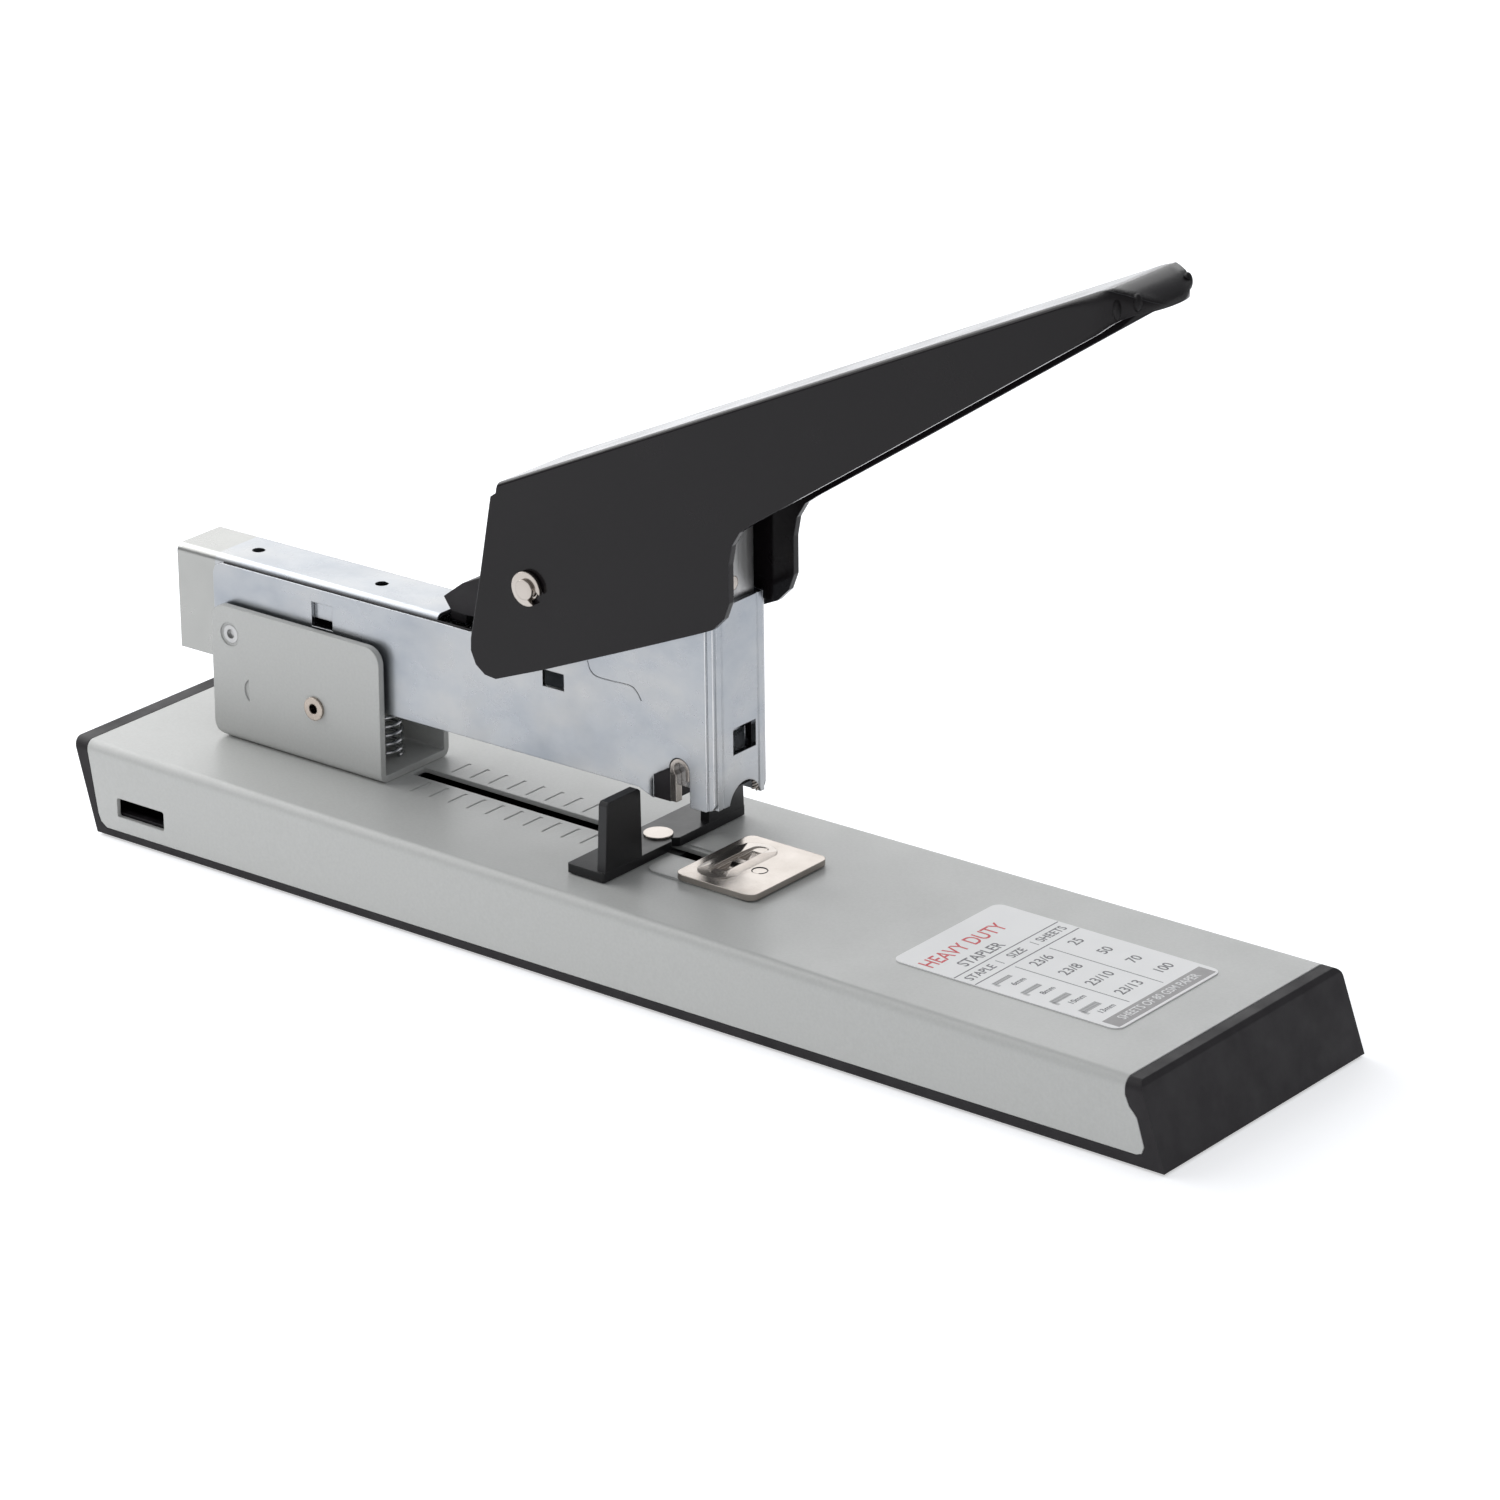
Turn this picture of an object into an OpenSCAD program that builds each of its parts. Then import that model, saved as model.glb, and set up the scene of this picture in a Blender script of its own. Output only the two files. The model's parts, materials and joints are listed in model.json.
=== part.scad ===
// Heavy duty desk stapler with a raised sheet-metal handle.
// Origin: middle of the footprint, on the surface it stands on. +X to the front, +Z up.

/* [Base] */
// Overall length of the base, measured over its raked ends
base_len = 280; // [270:1:290]
// Width of the base at its rear end
base_w_rear = 60.4; // [58:0.2:62]
// Width of the base at its front end
base_w_front = 67.4; // [65:0.2:69]
// Height of the cover's top at its rear end
base_h_rear = 20.4; // [19.5:0.1:21]
// Height of the cover's top at its front end
base_h_front = 17.6; // [17.4:0.1:18]
// Thickness of the folded steel cover
cover_t = 1.0; // [0.8:0.1:1.2]

/* [Paper guide] */
// Overall width of the guide across the base
guide_w = 45.2; // [40:0.2:48]
// Height of the two fences above the cover
fence_h = 16.6; // [12:0.2:17]

/* [Head] */
// Width over the two side plates
head_w = 16.4; // [16.2:0.1:16.6]
// Height of the rear part of the magazine casing
casing_h = 23.2; // [23:0.1:23.4]

/* [Handle] */
// Width over the two handle plates
handle_w = 22; // [21.8:0.1:22.4]
// Thickness of the handle's sheet steel
handle_t = 1.5; // [1.3:0.1:1.6]
// Angle of the handle's back at rest
handle_angle = 24.7; // [24.3:0.1:25.1]

/* [Hidden] */
$fn = 48;

// --- base, derived ---
base_x0 = -base_len / 2;                 // top edge of the rear end, the rearmost point
base_x1 = base_len / 2;                  // bottom edge of the front end, the foremost point
rear_rake = 5.4;                         // how far the rear end leans out at the top
front_rake = 6.4;                        // how far the front end leans out at the bottom
foot_z = base_x0 + rear_rake;            // rear end at the bottom
wedge = atan((base_h_rear - base_h_front) / (base_x1 - foot_z));
tray_z0 = 0.6;                           // the tray stands this far up on its feet
seam_rear = 2.2;                         // lower edge of the cover, rear
seam_front = 2.9;                        // lower edge of the cover, front
bend_r = 2.2;                            // outside radius of the cover's long bends

function along(x) = (x - foot_z) / (base_x1 - foot_z);
function mix(a, b, t) = a + (b - a) * t;
function half_w(x) = mix(base_w_rear, base_w_front, along(x)) / 2;
function top_z(x) = mix(base_h_rear, base_h_front, along(x));
function seam_z(x) = mix(seam_rear, seam_front, along(x));

// --- slot, guide, anvil ---
slot_x0 = -70.7;
slot_x1 = 5.3;
slot_w = 4.3;
tick_pitch = 5;
tick_n = 12;
tick_x0 = -64.5;
anvil_x = 16.8;
anvil_l = 19.9;
anvil_w = 24.8;
anvil_t = 1.3;
anvil_pin = [19.8, -1.2, 3.2];          // the anvil's rivet: x, y, diameter
pad_z = 0.35;                            // raised pad under the anvil
anvil_z = pad_z + anvil_t + 0.02;        // anvil's top above the cover
groove_x = 13.2;
guide_x0 = -12.1;
guide_x1 = -2.5;
guide_t = 1.9;
guide_gap = 0.3;
rivet_x = -7.0;

// --- hinge bracket ---
bracket_x0 = -117.6;
bracket_x1 = -71.5;
bracket_w = 21.2;
bracket_t = 1.5;
bracket_h = 29.6;
hinge_x = -112.4;
hinge_z = 43.7;
hinge_d = 4;
stop_x = -89.2;
stop_z = 32.6;
stop_d = 3;
lift_x = -79.3;

// --- head ---
plate_t = 0.9;
head_in = head_w / 2 - plate_t;          // half the width between the side plates
head_z0 = 34.7;                          // underside of the casing
head_x0 = -118.6;                        // rear edge of the side plates
head_x1 = 14.5;                          // front face of the head
head_top = 76;                           // top of the front face
casing_top = head_z0 + casing_h;
nose_z = 33.3;
mouth_x = 5.4;                           // round-topped slot in the sides of the nose
mouth_r = 2.6;
mouth_z = 40.6;
sight_y = 1.2;                           // the sight window and the arch lie off the middle
front_t = 1.2;
pivot_x = -30;
pivot_z = 72.2;
pivot_d = 5;
running = 0.04;                          // radial clearance of a running fit
rise_x = -41;                            // where the side plates rise to the pivot

// --- driver ---
press_angle = 28;                        // full stroke of the handle
head_swing = 4.8;                        // how far the whole head is pressed down
arm = 33;                                // drive pin ahead of the pivot
drive_x = pivot_x + arm;
drive_z = pivot_z + arm * tan(press_angle / 2);
drive_d = 4;
stroke = 2 * arm * tan(press_angle / 2);
blade_t = 0.9;
blade_x1 = head_x1 - front_t - 0.15;     // front face of the blade
blade_x0 = blade_x1 - blade_t;
blade_z0 = 49.3;
carrier_z0 = 76.6;
carrier_z1 = 97;
carrier_t = 1.2;
carrier_w = 12.8;
driver_rivet_z = 79.3;

// --- magazine ---
mag_x0 = -129.5;
mag_top = 59.1;
mag_z0 = 36.3;
mag_w = 14.4;
mag_t = 0.75;
mag_roof_x1 = -58;
rail_top = 48.6;
rail_w = 11.4;
rail_x1 = 11.8;
rod_z = 53.4;
rod_d = 3;
pusher_x0 = -12;
pusher_x1 = 2.7;

// --- latch ---
latch_x = -37.5;
latch_z = 64;
latch_d = 2.5;
latch_w = 11;

// ---------- shared shapes ----------

// Lies on the sloping top of the base at x, with local +X down the slope
module on_top(x) {
    translate([x, 0, top_z(x)]) rotate([0, wedge, 0]) children();
}

// Extrudes an outline drawn in X and Z across Y, centred
module across(w) {
    rotate([90, 0, 0]) linear_extrude(w, center = true) children();
}

// The same, mirrored into two plates whose outer faces are w apart
module pair_of_plates(w, t) {
    for (s = [-1, 1])
        translate([0, s * (w - t) / 2, 0]) across(t) children();
}

// A round bar across Y
module cross_bar(d, w) {
    rotate([90, 0, 0]) cylinder(d = d, h = w, center = true);
}

// A flat slab with rounded corners in plan, centred on x and y
module rounded_slab(l, w, r, h) {
    linear_extrude(h) rounded_rect(l, w, r);
}

module rounded_rect(l, w, r) {
    square([l - 2 * r, w], center = true);
    square([l, w - 2 * r], center = true);
    for (x = [-1, 1], y = [-1, 1])
        translate([x * (l / 2 - r), y * (w / 2 - r)]) circle(r);
}

// A coil spring along +Z: a wire of diameter wire wound to the outer diameter od
function coil_ring(t, r, wire, h, turns, sides) = let (
    a = 360 * turns * t, dead = 0.5 / turns,
    lift = h * min(max((t - dead) / (1 - 2 * dead), 0), 1)
) [for (i = [0 : sides - 1]) let (b = 360 * i / sides, rr = r + wire / 2 * cos(b))
    [rr * cos(a), rr * sin(a), wire / 2 + (h - wire) * lift / h + wire / 2 * sin(b)]];

module coil(od, wire, h, turns, steps = 14, sides = 6) {
    n = ceil(turns * steps);
    points = [for (k = [0 : n])
        each coil_ring(k / n, (od - wire) / 2, wire, h, turns, sides)];
    walls = [for (k = [0 : n - 1], i = [0 : sides - 1]) let (j = (i + 1) % sides)
        [k * sides + i, (k + 1) * sides + i, (k + 1) * sides + j, k * sides + j]];
    first = [for (i = [0 : sides - 1]) i];
    last = [for (i = [sides - 1 : -1 : 0]) n * sides + i];
    polyhedron(points, concat(walls, [first], [last]), convexity = 10);
}

// ---------- base ----------

// The base's whole outer form between two stations, inset by d on the sides and the top
module base_form(x0, x1, d, z0) {
    r = max(bend_r - d, 0.3);
    hull() {
        for (x = [x0, x1], s = [-1, 1]) {
            translate([x, s * (half_w(x) - d - r), top_z(x) - d - r])
                rotate([0, 90, 0]) cylinder(r = r, h = 0.01, center = true, $fn = 32);
            translate([x - 0.005, s * (half_w(x) - d) - 0.05, z0(x)]) cube([0.01, 0.1, 0.1]);
        }
    }
}

// Front and rear edges of the cover seen from the side; gap moves them away from it
function front_edge(gap) = [
    [base_x1 - 6.4 + gap, seam_front - gap], [base_x1 - 5.2 + gap, 3.4],
    [base_x1 - 4.7 + gap, 4.8], [base_x1 - 6.4 + gap, 10.3], [base_x1 - 7.2 + gap, 11.2],
    [base_x1 - 8.2 + gap, 12.2], [base_x1 - 9.2 + gap, 14.4]
];
function rear_edge(gap) = [
    [base_x0 + 3.6 - gap, top_z(base_x0)], [foot_z + 0.9 - gap, 5], [foot_z + 1.6 - gap, 3.3],
    [foot_z + 3.2, seam_rear - gap]
];

module cover_side() {
    polygon(concat(
        [[base_x0 + 3.4, 30]], rear_edge(0), front_edge(0), [[base_x1 - 9.2, 30]]
    ));
}

module base_cover() {
    color([0.78, 0.79, 0.76])
    difference() {
        intersection() {
            difference() {
                base_form(base_x0, base_x1, 0, function(x) seam_z(x));
                base_form(base_x0 - 1, base_x1 + 1, cover_t, function(x) -2);
            }
            across(80) cover_side();
        }
        // long slot for the guide's rivet
        on_top((slot_x0 + slot_x1) / 2) translate([0, 0, -3])
            rounded_slab(slot_x1 - slot_x0, slot_w, 0.6, 8);
        // graduations on both sides of the slot
        for (i = [0 : tick_n - 1], s = [-1, 1])
            on_top(tick_x0 + i * tick_pitch) translate([-0.4, s * 6.4 - 2.85, -0.12])
                cube([0.8, 5.7, 1]);
        // window in the near wall
        translate([-121.4, -half_w(-121), 7.6]) across(8) rounded_rect(13.4, 4.2, 0.5);
        // holes for the anvil's and the bracket's rivets
        anvil_bore(0);
        for (x = [-108, -97])
            on_top(x) translate([0, 0, -3]) cylinder(d = 4, h = 6);
    }
    color([0.78, 0.79, 0.76])
    difference() {
        anvil_pad();
        anvil_bore(0);
    }
}

// Low pressed pad that carries the anvil, split by the slot
module anvil_pad() {
    on_top(anvil_x) translate([-5.2, 0, -0.2]) difference() {
        linear_extrude(pad_z + 0.2) rounded_rect(26, 24, 3);
        translate([-13, -slot_w / 2 - 1, -1]) cube([8.4, slot_w + 2, 4]);
    }
}

// Bore for the anvil's rivet
module anvil_bore(wider) {
    on_top(anvil_pin[0]) translate([0, anvil_pin[1], -6]) cylinder(d = anvil_pin[2] + wider, h = 10);
}

// Outline of the tray seen from the side: floor and two raked end walls
module tray_side() {
    polygon(concat(
        [
            [foot_z + 0.3, tray_z0], [base_x1, tray_z0],
            [base_x1 - front_rake + 0.9, top_z(base_x1) - 1.0],
            [base_x1 - front_rake, top_z(base_x1)], [base_x1 - 9.1, top_z(base_x1)]
        ],
        [for (i = [6 : -1 : 0]) front_edge(0.1)[i]],
        [for (i = [3 : -1 : 0]) rear_edge(0.1)[i]],
        [[base_x0, top_z(base_x0)]]
    ));
}

module base_tray() {
    color([0.09, 0.09, 0.10])
    difference() {
        union() {
            intersection() {
                base_form(base_x0, base_x1, 0, function(x) 0);
                across(80) tray_side();
            }
            // inner skirt that locates the cover
            intersection() {
                base_form(base_x0 + 8, base_x1 - 12, cover_t + 0.3, function(x) 1);
                translate([0, 0, 3.4]) cube([258, 80, 5.2], center = true);
            }
            // posts under the screws
            for (x = [-96, 96], s = [-1, 1])
                translate([x, s * 20, 1]) cylinder(d = 9, h = 4.4);
        }
        // hollow inside the skirt
        difference() {
            intersection() {
                base_form(base_x0 + 10, base_x1 - 14, cover_t + 2.1, function(x) 0);
                translate([0, 0, 2.4 + 10]) cube([300, 80, 20], center = true);
            }
            for (x = [-96, 96], s = [-1, 1])
                translate([x, s * 20, 1]) cylinder(d = 9, h = 4.4);
        }
        // screw holes with recessed heads
        for (x = [-96, 96], s = [-1, 1]) translate([x, s * 20, -1]) {
            cylinder(d = 3.4, h = 10);
            cylinder(d = 6.6, h = 3.6);
        }
        // pockets for the feet
        for (x = [-118, 118], s = [-1, 1])
            translate([x, s * 21, 0]) cylinder(d = 12, h = 1.4);
        // hollow back of the front cap
        translate([base_x1 - 9.4, 0, 7.6]) cube([6, 56, 9], center = true);
    }
}

module rubber_feet() {
    color([0.05, 0.05, 0.05])
    for (x = [-118, 118], s = [-1, 1])
        translate([x, s * 21, 0]) cylinder(d = 12, h = 1.4);
}

module base_screws() {
    color("silver")
    for (x = [-96, 96], s = [-1, 1]) translate([x, s * 20, 0]) difference() {
        union() {
            translate([0, 0, 1.2]) cylinder(d = 6.2, h = 1.4);
            translate([0, 0, 2.2]) cylinder(d = 3, h = 5.6);
        }
        for (a = [0, 90]) rotate(a) translate([0, 0, 1.4]) cube([3.4, 0.8, 0.9], center = true);
    }
}

// Two hat-shaped straps spot-welded under the cover, tapped for the screws
module cross_straps() {
    color("silver")
    for (x = [-96, 96]) {
        roof = top_z(x) - cover_t - 0.15;
        difference() {
            translate([x, 0, 0]) rotate([90, 0, 90]) linear_extrude(12, center = true)
                polygon([
                    [-25, 5.4], [-14, 5.4], [-14, roof - 1.2], [14, roof - 1.2], [14, 5.4], [25, 5.4],
                    [25, 6.8], [15.4, 6.8], [15.4, roof], [-15.4, roof], [-15.4, 6.8], [-25, 6.8]
                ]);
            for (s = [-1, 1]) translate([x, s * 20, 4]) cylinder(d = 3, h = 6);
            // room for the bracket's rivets
            if (x < 0) translate([x - 1, 0, roof - 2]) cylinder(d = 9, h = 4);
        }
    }
}

module size_label() {
    color("white")
    on_top(91.2) translate([0, 0, 0.02]) rounded_slab(53.4, 34.6, 2.2, 0.2);
}

// ---------- hinge bracket and lift spring ----------

module bracket_outline() {
    r = 3.6;
    translate([(bracket_x0 + bracket_x1) / 2 - hinge_x, bracket_h / 2])
        rounded_rect(bracket_x1 - bracket_x0, bracket_h, r);
    translate([bracket_x0 - hinge_x + 5, 0]) square([bracket_x1 - bracket_x0 - 5, 8]);
}

module bracket_section() {
    r = 1.9;
    difference() {
        union() {
            translate([-bracket_w / 2, r]) square([bracket_w, 40]);
            translate([-bracket_w / 2 + r, 0]) square([bracket_w - 2 * r, 10]);
            for (s = [-1, 1]) translate([s * (bracket_w / 2 - r), r]) circle(r);
        }
        translate([-bracket_w / 2 + bracket_t, r]) square([bracket_w - 2 * bracket_t, 50]);
        translate([-bracket_w / 2 + r, bracket_t]) square([bracket_w - 2 * r, 10]);
        for (s = [-1, 1]) translate([s * (bracket_w / 2 - r), r]) circle(r - bracket_t);
    }
}

module hinge_bracket() {
    color([0.78, 0.79, 0.76])
    difference() {
        on_top(hinge_x) translate([0, 0, 0.05]) intersection() {
            rotate([90, 0, 90]) linear_extrude(140, center = true) bracket_section();
            across(40) bracket_outline();
        }
        translate([hinge_x, 0, hinge_z]) cross_bar(hinge_d, 40);
        translate([stop_x, 0, stop_z]) cross_bar(stop_d, 40);
        for (x = [-108, -97])
            on_top(x) translate([0, 0, -3]) cylinder(d = 4, h = 8);
        for (s = [-1, 1]) {
            // sunk ring round the pin's end
            translate([hinge_x, s * bracket_w / 2, hinge_z]) cross_bar(hinge_d + 1.1, 0.7);
            // pressed half-moon
            translate([hinge_x + 4.9, s * bracket_w / 2, 32.3]) across(0.7) intersection() {
                translate([1.75, 0]) circle(3.05);
                translate([-1.3, -4]) square([1.3, 8]);
            }
        }
    }
}

// Two rivets through the bracket's floor and the cover
module bracket_rivets() {
    color("silver")
    for (x = [-108, -97]) on_top(x) {
        translate([0, 0, -cover_t - 0.9]) cylinder(d = 6, h = 0.9);
        translate([0, 0, -cover_t - 0.5]) cylinder(d = 3.9, h = cover_t + bracket_t + 1);
        translate([0, 0, bracket_t + 0.05]) cylinder(d = 6.4, h = 1);
    }
}

// Stub pins on which the head swings: fast in the bracket, free in the casing
module hinge_pins() {
    color("silver")
    for (s = [-1, 1]) translate([hinge_x, s * (head_in + 0.05), hinge_z])
        rotate([s * -90, 0, 0]) difference() {
            cylinder(d = hinge_d, h = bracket_w / 2 - head_in - 0.35);
            translate([0, 0, bracket_w / 2 - head_in - 1]) cylinder(d = 2, h = 2);
        }
}

// Hollow rivet across the bracket: the casing's slots stop against it when the head is up
module stop_rivet() {
    color([0.75, 0.62, 0.5])
    translate([stop_x, 0, stop_z]) difference() {
        union() {
            cross_bar(stop_d, bracket_w);
            for (s = [-1, 1]) translate([0, s * (bracket_w / 2 + 0.3), 0])
                cross_bar(5, 0.6);
        }
        cross_bar(2.2, 60);
    }
}

module lift_spring() {
    color("silver")
    translate([lift_x, 0, top_z(lift_x) + bracket_t + 0.2])
        coil(7.6, 0.9, head_z0 - top_z(lift_x) - bracket_t - 1.5, 6.5, 16, 8);
}

// ---------- anvil ----------

module anvil_plate() {
    color([0.8, 0.78, 0.74])
    difference() {
        on_top(anvil_x) translate([0, 0, anvil_z - anvil_t]) difference() {
            union() {
                rounded_slab(anvil_l, anvil_w, 2, anvil_t);
                // low dome round the groove: a barrel along Y, rounded off at both ends
                translate([groove_x - anvil_x, 0, anvil_t]) intersection() {
                    translate([0, 0, -14.05]) cross_bar(29.5, 20);
                    translate([0, 0, -71.3]) rotate([0, 90, 0])
                        cylinder(r = 72, h = 30, center = true, $fn = 200);
                    rounded_slab(9, 20, 4.4, 3);
                }
            }
            // oval groove in the dome with the twin hollows that curl the legs
            translate([groove_x - anvil_x + 0.5, 0, anvil_t + 0.1]) rounded_slab(3.4, 16.6, 1.65, 3);
            for (s = [-1, 1]) translate([groove_x - anvil_x + 0.5, s * 3.3, anvil_t + 3.9])
                rotate([0, 90, 0]) cylinder(r = 4.5, h = 2.2, center = true);
        }
        anvil_bore(0);
    }
}

module anvil_rivet() {
    color([0.8, 0.78, 0.74])
    on_top(anvil_pin[0]) translate([0, anvil_pin[1], -cover_t]) {
        translate([0, 0, -1.2]) cylinder(d = 6, h = 1);
        translate([0, 0, -0.5]) cylinder(d = anvil_pin[2], h = cover_t + 0.5 + anvil_z - 0.05);
    }
}

// Steel channel between the cover and the tray: takes the blow of the stroke
module anvil_support() {
    color("silver")
    difference() {
        on_top(anvil_x) translate([0, 0, -cover_t - 0.2])
            rotate([90, 0, 90]) linear_extrude(28, center = true) polygon([
                [-13, 0], [13, 0], [13, 2.6 - top_z(anvil_x) + cover_t + 0.4],
                [11, 2.6 - top_z(anvil_x) + cover_t + 0.4], [11, -2], [-11, -2],
                [-11, 2.6 - top_z(anvil_x) + cover_t + 0.4],
                [-13, 2.6 - top_z(anvil_x) + cover_t + 0.4]
            ]);
        anvil_bore(4.6);
        on_top(anvil_x - 14) translate([0, 0, -4]) cube([12, 12, 10], center = true);
    }
}

// ---------- paper guide ----------

guide_z = guide_gap + guide_t;

module fence_outline() {
    in = 11;
    out = guide_w / 2 - 0.4;
    polygon([
        [in - 0.4, 0], [out, 0], [out - 0.8, fence_h - 0.7], [out - 1.3, fence_h],
        [in + 0.7, fence_h], [in, fence_h - 0.6]
    ]);
}

module paper_guide() {
    color([0.1, 0.1, 0.1])
    difference() {
        union() {
            on_top((guide_x0 + guide_x1) / 2) translate([0, 0, guide_gap])
                rounded_slab(guide_x1 - guide_x0, guide_w, 0.6, guide_t);
            on_top(guide_x1 - 1.1) translate([0, 0, guide_gap])
                for (s = [0, 1]) mirror([0, s, 0]) rotate([90, 0, 90])
                    linear_extrude(2.1, center = true) fence_outline();
        }
        on_top(rivet_x) translate([0, 0, -1]) cylinder(d = 3.3, h = 6);
        // notch that points at the graduations
        on_top(guide_x1) translate([0, 0, guide_gap + 1]) rotate(45)
            cube([1.8, 1.8, 3], center = true);
    }
}

module guide_rivet() {
    color([0.9, 0.87, 0.83])
    on_top(rivet_x) {
        translate([0, 0, -cover_t - 1.9]) cylinder(d = 5, h = 0.8);
        translate([0, 0, -cover_t - 1.4]) cylinder(d = 3.2, h = cover_t + 1.6 + guide_z);
        translate([0, 0, guide_z]) cylinder(d = 6.1, h = 0.4);
    }
}

// Spring plate under the cover that holds the guide where it is put
module guide_clamp() {
    color("silver")
    on_top(rivet_x) translate([0, 0, -cover_t - 1.1]) difference() {
        rounded_slab(10, 16, 1.5, 0.7);
        translate([0, 0, -1]) cylinder(d = 3.2, h = 3);
    }
}

// ---------- head ----------

// Side plate: low magazine casing, raised cheek round the pivot, deep nose at the front
module head_outline() {
    polygon([
        [head_x0, 38.5], [head_x0 + 1.2, 36.9], [-104, head_z0], [-5.1, head_z0],
        [-3.4, nose_z + 0.7], [-1.5, nose_z], [head_x1 - 2.5, nose_z],
        [head_x1 - 0.8, nose_z + 0.7], [head_x1, nose_z + 2.1], [head_x1, head_top], [4, head_top + 1.6],
        [pivot_x + 6, pivot_z + 8], [pivot_x - 3, pivot_z + 8.4], [pivot_x - 8.5, pivot_z + 4],
        [rise_x, pivot_z - 6], [rise_x - 0.4, casing_top + 1.6], [rise_x - 2, casing_top],
        [head_x0 + 2.4, casing_top], [head_x0 + 0.7, casing_top - 0.7],
        [head_x0, casing_top - 2.4]
    ]);
}

// Openings that both side plates share
module head_openings() {
    // round-topped slot and square cut at the nose
    translate([mouth_x - mouth_r, 20]) square([2 * mouth_r, mouth_z - 20]);
    translate([mouth_x, mouth_z]) circle(mouth_r);
    polygon([[-1.2, 30], [mouth_x - 2.4, 30], [mouth_x - 2.4, 40.7], [-1.2, 38.2]]);
    // window over the magazine and a small square hole
    translate([-88.5, 52.3]) square([5.7, 5.3], center = true);
    translate([-26.7, 52.4]) square([5.6, 3.6], center = true);
    translate([pivot_x, pivot_z]) circle(d = pivot_d);
    translate([latch_x, latch_z]) circle(d = latch_d);
    translate([hinge_x, hinge_z]) circle(d = hinge_d + 2 * running);
}

module head_casing() {
    color([0.72, 0.74, 0.77])
    difference() {
        intersection() {
            union() {
                pair_of_plates(head_w, plate_t) difference() {
                    union() {
                        head_outline();
                        stop_lug_form();
                    }
                    head_openings();
                }
                // floor of the folded channel
                translate([(-104 - 6) / 2, 0, head_z0 + plate_t / 2])
                    cube([98, 2 * head_in + 0.2, plate_t], center = true);
            }
            // the front corners are bent, not sharp
            translate([head_x1 - 100, 0, 20]) linear_extrude(80)
                rounded_rect(200, head_w, 0.8);
        }
        // the floor is open over the stop rivet
        translate([stop_x, 0, head_z0]) cube([8, 2 * head_in - 0.2, 6], center = true);
        across(20) stop_lug_slot();
        // fold line behind each front corner
        for (s = [-1, 1]) translate([head_x1 - 2, s * head_w / 2, 33])
            rotate(45) cube([0.5, 0.5, 100], center = true);
    }
}

// Lug under each side plate for the stop rivet
module stop_lug_form() {
    translate([stop_x - 4.4, 29.2]) square([8.8, 6.4]);
}

// Slot along the stop's path about the hinge
module stop_lug_slot() {
    for (k = [0 : 4]) translate([hinge_x, hinge_z]) rotate(k / 4 * head_swing)
        translate([stop_x - hinge_x, stop_z - hinge_z]) circle(d = stop_d + 0.5);
}

// Front wall of the head with the sight window and the arched mouth
module nose_plate() {
    color([0.72, 0.74, 0.77])
    difference() {
        translate([head_x1 - front_t / 2, 0, 0]) rotate([90, 0, 90])
            linear_extrude(front_t, center = true) difference() {
                translate([-head_in, nose_z + 0.5]) square([2 * head_in, head_top - nose_z - 0.5]);
                translate([sight_y, 46.9]) square([7.3, 5.6], center = true);
                translate([sight_y, 32.6]) circle(5.1);
            }
        // joint between the flanges and the middle of the wall
        for (s = [-1, 1]) translate([head_x1, s * 5.7, 50])
            rotate(45) cube([0.4, 0.4, 100], center = true);
    }
}

// Black moulding that lines the inside of the nose and shows in its side openings
module nose_insert() {
    color([0.08, 0.08, 0.08]) {
        translate([-1.15, -head_in, nose_z + 0.1]) cube([4.1, 2 * head_in, 2.8]);
        pair_of_plates(head_w - 0.3, 1.3) polygon([
            [-1.15, nose_z + 0.1], [mouth_x - 2.45, nose_z + 0.1], [mouth_x - 2.45, 40.6],
            [-1.15, 38.15]
        ]);
        pair_of_plates(2 * head_in, 0.7) polygon([
            [3.6, 44.2], [13.2, 44.2], [13.2, 56], [3.6, 56]
        ]);
        // behind the arch, under the rail
        translate([9.2, -head_in, nose_z + 1.4]) cube([1.6, 2 * head_in, 1.4]);
    }
}

// Bright folded clips inside the side slots
module nose_clips() {
    color([0.8, 0.8, 0.8])
    for (s = [0, 1]) mirror([0, s, 0])
        translate([0, -head_w / 2 + 0.95, 0]) across(1.7) clip_outline(2.4, 1.5);
}

// Arch with a long leg to the rear and a short one to the front
module clip_outline(r, hole) {
    difference() {
        union() {
            translate([mouth_x, mouth_z]) circle(r);
            translate([mouth_x - r, nose_z + 0.3]) square([r, mouth_z - nose_z - 0.3]);
            translate([mouth_x, mouth_z - 2]) square([r, 2]);
        }
        translate([mouth_x, mouth_z]) circle(hole);
        translate([mouth_x - hole + 0.6, 30]) square([2 * hole - 0.6, mouth_z - 30]);
        translate([mouth_x + 1, 30]) square([4, mouth_z - 32]);
    }
}

// Cup under the casing's floor that centres the lift spring
module spring_seat() {
    color("silver")
    translate([lift_x, 0, head_z0 - 0.5]) difference() {
        cylinder(d = 10, h = 0.5);
        translate([0, 0, -1]) cylinder(d = 3, h = 3);
    }
}

module pivot_pin() {
    color([0.85, 0.82, 0.78])
    translate([pivot_x, 0, pivot_z]) {
        cross_bar(pivot_d, handle_w + 0.6);
        cross_bar(3.4, handle_w + 3);
        for (s = [-1, 1]) translate([0, s * (handle_w / 2 + 1.5), 0]) cross_bar(4.2, 0.6);
    }
}

module pivot_spacers() {
    color("silver")
    for (s = [-1, 1])
        translate([pivot_x, s * (head_w / 2 + 0.55), pivot_z]) difference() {
            cross_bar(9, 1);
            cross_bar(pivot_d + 2 * running, 2);
        }
}

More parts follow.
